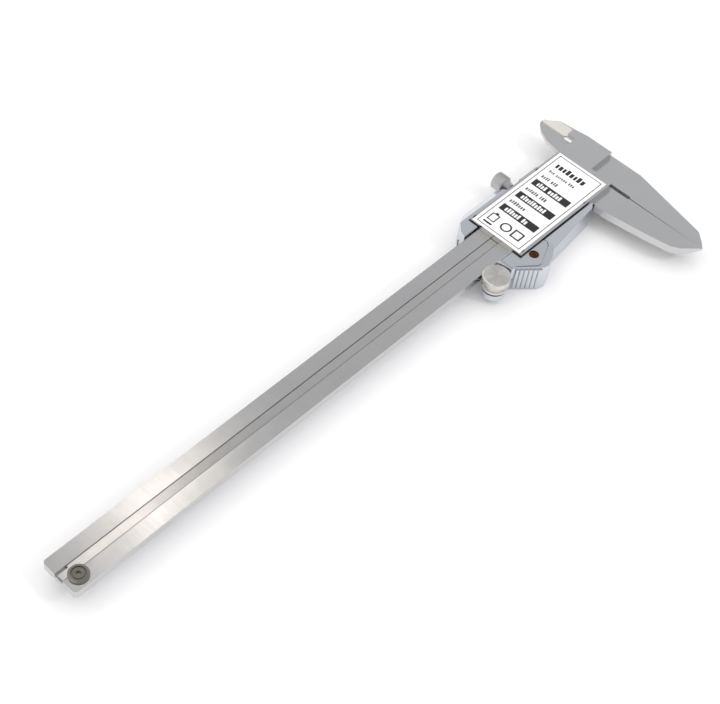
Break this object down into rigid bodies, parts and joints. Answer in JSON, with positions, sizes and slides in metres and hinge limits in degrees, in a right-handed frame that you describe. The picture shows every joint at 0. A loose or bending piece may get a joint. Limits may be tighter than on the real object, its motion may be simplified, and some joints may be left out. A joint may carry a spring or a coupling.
{
  "type": "digital caliper",
  "caption": "Digital caliper with long outside jaws, crossing inside jaws, a depth rod, thumb roller, lock screw and a chromed display housing.",
  "frame": {"origin": "middle of the beam's free end face, the face that a depth is measured from", "axes": "+X along the beam towards the jaws, +Y across it towards the inside jaws, +Z out of the back, away from the display"},
  "size_m": [0.286, 0.0876, 0.0134],
  "materials": {
    "beam_steel": "hardened stainless, long-grained satin",
    "scale_board": "glass-fibre board with capacitive pads",
    "scale_film": "silver film with a printed graduation",
    "black_screw": "black oxide",
    "slider_steel": "hardened stainless, ground satin",
    "label_film": "white film with a black print",
    "bronze": "rolled",
    "rod_steel": "bright drawn",
    "knob_steel": "knurled, satin nickel",
    "roller_steel": "turned",
    "pin_steel": "ground",
    "spring_steel": "rolled",
    "cover_chrome": "satin chrome on cast zinc",
    "brass_screw": "turned",
    "seal_rubber": "moulded",
    "face_panel": "dark grey film",
    "window": "clear polycarbonate",
    "display": "liquid crystal cell",
    "holder_plastic": "moulded",
    "board": "solder mask",
    "cell_steel": "nickel-plated",
    "contact_gold": "gilt",
    "cap_plastic": "moulded",
    "button_plastic": "moulded",
    "button_grey": "moulded",
    "pad_rubber": "moulded"
  },
  "bodies": {
    "beam_body": {"beam": "beam_steel", "scale_strip": "scale_board", "scale_film": "scale_film", "stop_screw": "black_screw"},
    "slider": {"slider_frame": "slider_steel", "label": "label_film", "gib_strip": "bronze", "gib_screws": "black_screw", "depth_rod": "rod_steel", "depth_rod_screw": "black_screw", "roller_pin": "pin_steel", "roller_arm": "spring_steel", "roller_washer": "pin_steel", "front_cover": "cover_chrome", "thumb_rest": "cover_chrome", "thumb_rest_screw": "brass_screw", "cover_screws": "black_screw", "cover_gasket": "seal_rubber", "face_panel": "face_panel", "display_window": "window", "display_module": "display", "display_contacts": "seal_rubber", "display_holder": "holder_plastic", "main_board": "board", "sensor_board": "board", "battery_cell": "cell_steel", "battery_spring": "contact_gold", "battery_contact": "contact_gold", "battery_cap_seal": "seal_rubber", "button_pad": "pad_rubber"},
    "lock_pad_body": {"lock_pad": "bronze"},
    "lock_knob": {"lock_screw": "knob_steel"},
    "roller": {"thumb_roller": "roller_steel"},
    "cap": {"battery_cap": "cap_plastic"},
    "power_key": {"button_power": "button_plastic"},
    "zero_key": {"button_zero": "button_grey"},
    "unit_key": {"button_unit": "button_grey"}
  },
  "joints": [
    {"name": "slider_travel", "type": "slide", "parent": "beam_body", "child": "slider", "axis": [-1, 0, 0], "range_m": [0, 0.2]},
    {"name": "roller_turn", "type": "hinge", "parent": "slider", "child": "roller", "pos_m": [0.1993, -0.0131, 0], "axis": [0, 0, 1], "range_deg": [-2250, 0]},
    {"name": "lock_advance", "type": "slide", "parent": "slider", "child": "lock_pad_body", "axis": [0, -1, 0], "range_m": [0, 0.00025]},
    {"name": "lock_turn", "type": "hinge", "parent": "lock_pad_body", "child": "lock_knob", "pos_m": [0.2415, 0.018, 0], "axis": [0, -1, 0], "range_deg": [0, 180]},
    {"name": "cap_turn", "type": "hinge", "parent": "slider", "child": "cap", "pos_m": [0.22, 0, -0.008], "axis": [0, 0, 1], "range_deg": [0, 45]},
    {"name": "power_press", "type": "slide", "parent": "slider", "child": "power_key", "axis": [0, 0, 1], "range_m": [0, 0.0004], "stiffness_N_per_m": 4000},
    {"name": "zero_press", "type": "slide", "parent": "slider", "child": "zero_key", "axis": [0, 0, 1], "range_m": [0, 0.0004], "stiffness_N_per_m": 4000},
    {"name": "unit_press", "type": "slide", "parent": "slider", "child": "unit_key", "axis": [0, 0, 1], "range_m": [0, 0.0004], "stiffness_N_per_m": 4000}
  ],
  "couplings": [
    {"joint": "roller_turn", "follows": "slider_travel", "rad_per_m": -196.08},
    {"joint": "lock_turn", "follows": "lock_advance", "rad_per_m": 12566}
  ]
}
